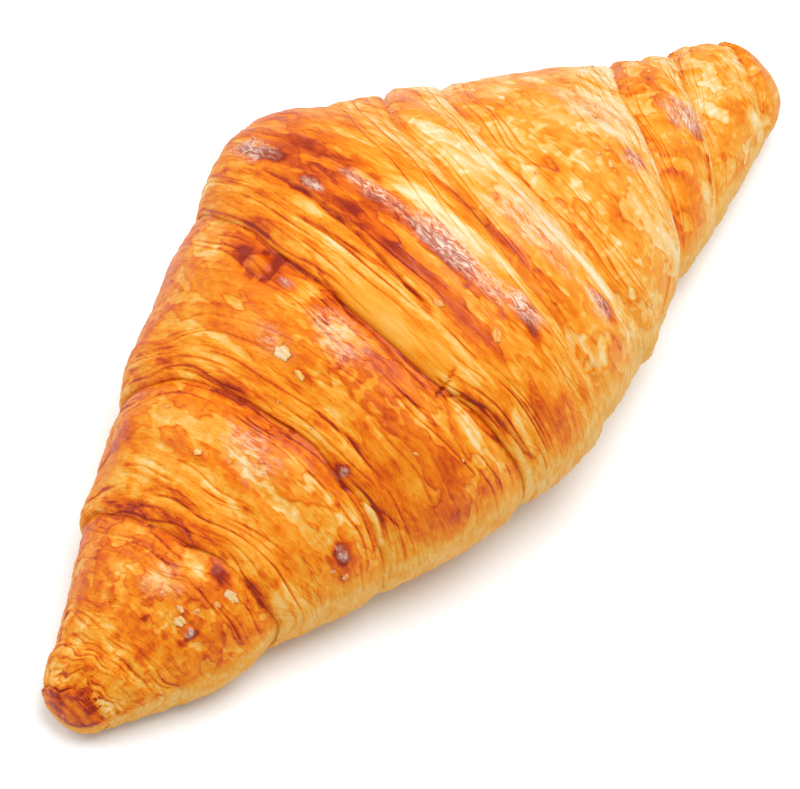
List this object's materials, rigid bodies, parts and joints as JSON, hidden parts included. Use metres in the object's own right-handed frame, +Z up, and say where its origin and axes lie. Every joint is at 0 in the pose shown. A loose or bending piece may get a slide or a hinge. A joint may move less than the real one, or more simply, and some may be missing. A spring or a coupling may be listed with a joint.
{
  "type": "butter croissant",
  "caption": "Straight butter croissant: a spindle of rolled laminated dough with overlapping turns, snub tips and a flat base it rests on.",
  "frame": {"origin": "under the middle of the croissant's box, on the base plane", "axes": "+X runs along the roll from the snub left tip to the right tip, +Y is the far side that bulges most, +Z is up"},
  "size_m": [0.16, 0.0766, 0.0464],
  "materials": {
    "crust": "egg-washed golden brown crust, satin"
  },
  "bodies": {
    "root": {"croissant": "crust"}
  },
  "joints": []
}
